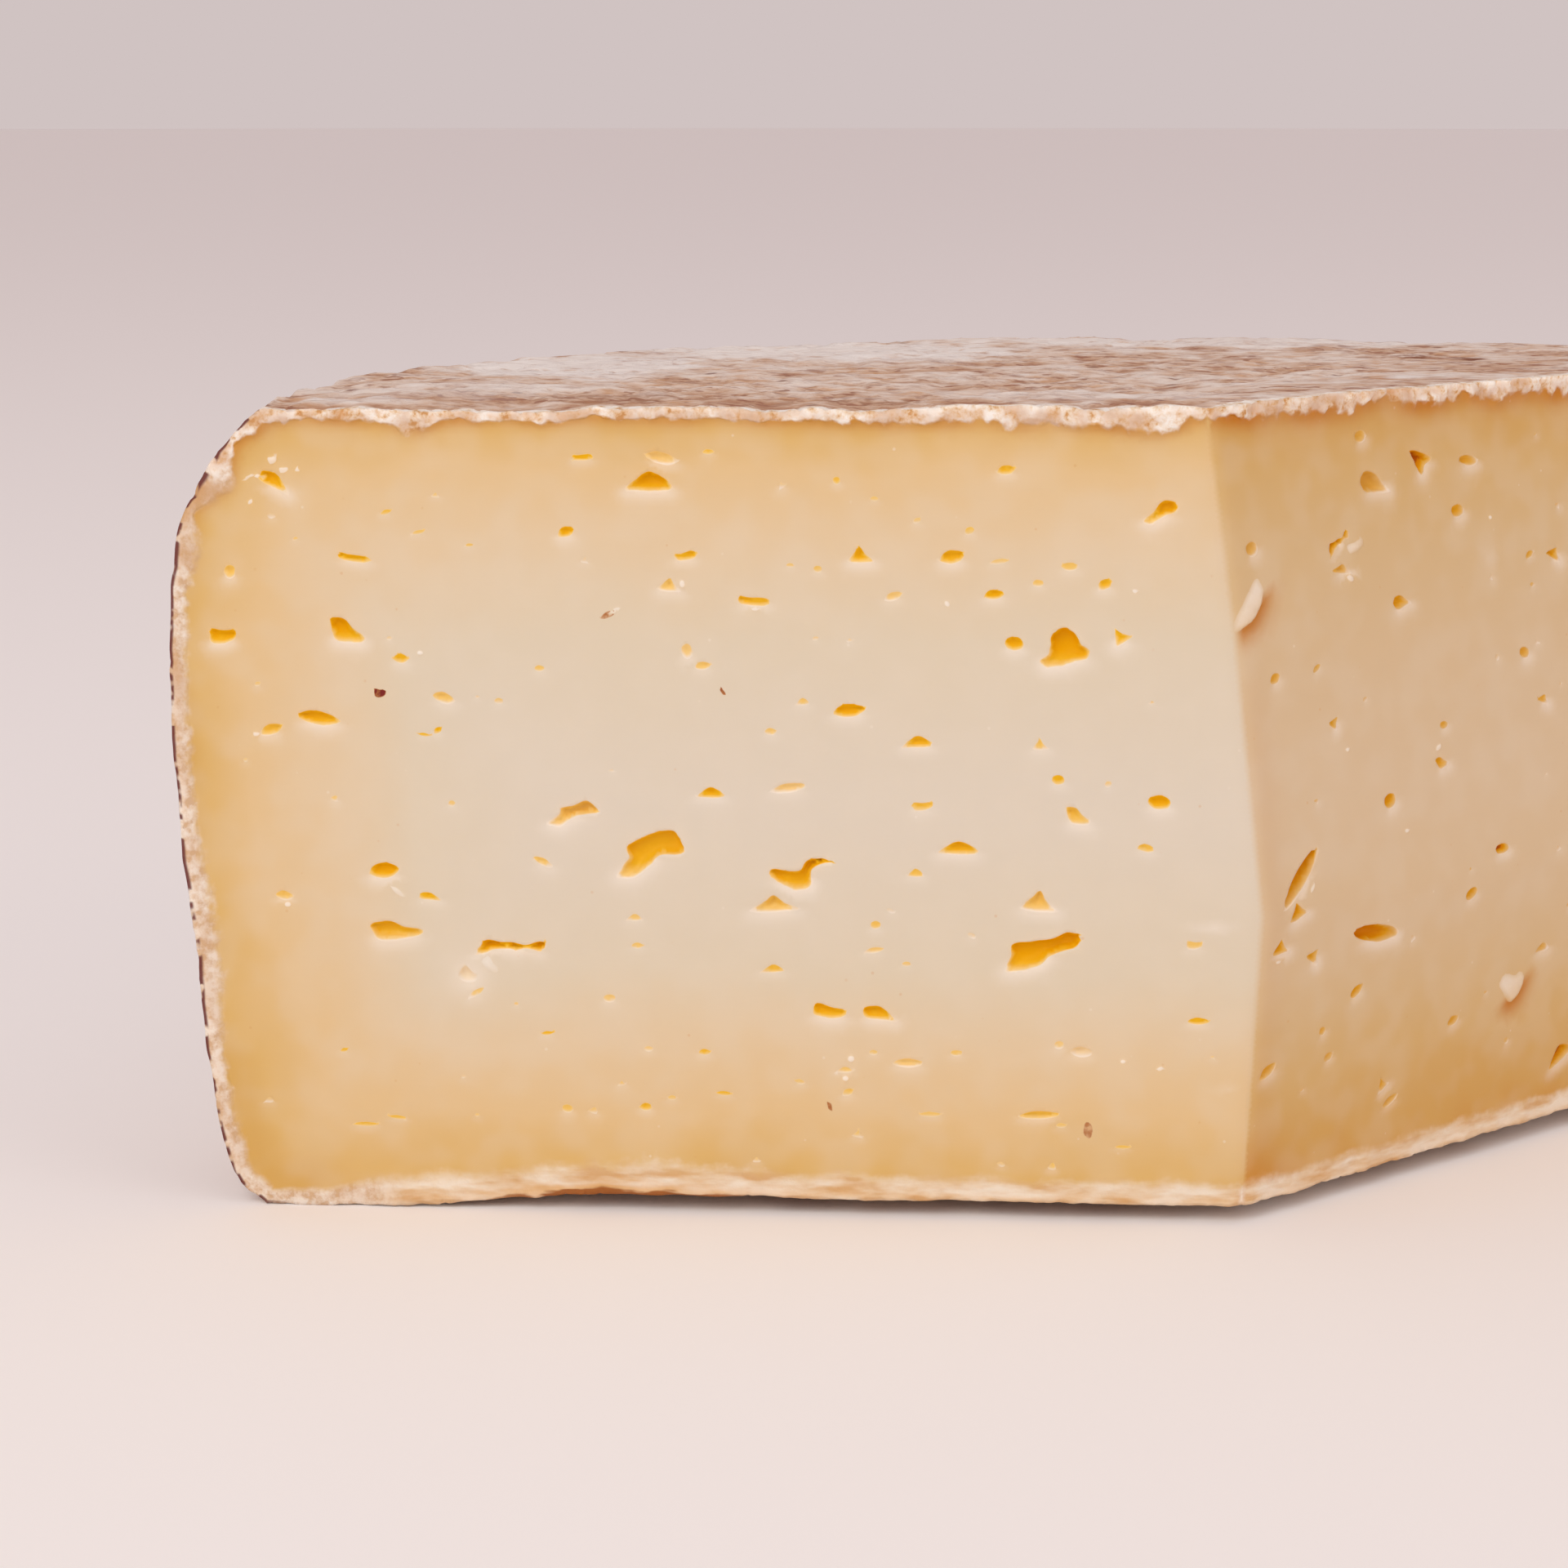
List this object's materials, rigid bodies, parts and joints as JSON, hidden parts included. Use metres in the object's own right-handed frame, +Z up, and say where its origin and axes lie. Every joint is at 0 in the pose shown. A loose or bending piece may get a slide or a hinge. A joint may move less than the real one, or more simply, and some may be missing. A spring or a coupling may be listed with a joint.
{
  "type": "tomme de savoie",
  "caption": "Sector of a round mountain cheese on its underside, with a crusty grey rind, two upright cut faces meeting at the wheel's axis, and pale yellow paste full of small eyes.",
  "frame": {"origin": "on the surface that the piece stands on, under the middle of its box", "axes": "+Z up; -Y out of the front cut face, which lies along X with the rind at its -X end; +X to the side where the other cut face runs back"},
  "size_m": [0.1637, 0.0959, 0.0734],
  "materials": {
    "cheese": "pale yellow cut paste with small saffron eyes, cream under-rind and a dry brown-grey crust with white mould"
  },
  "bodies": {
    "root": {"cheese": "cheese"}
  },
  "joints": []
}
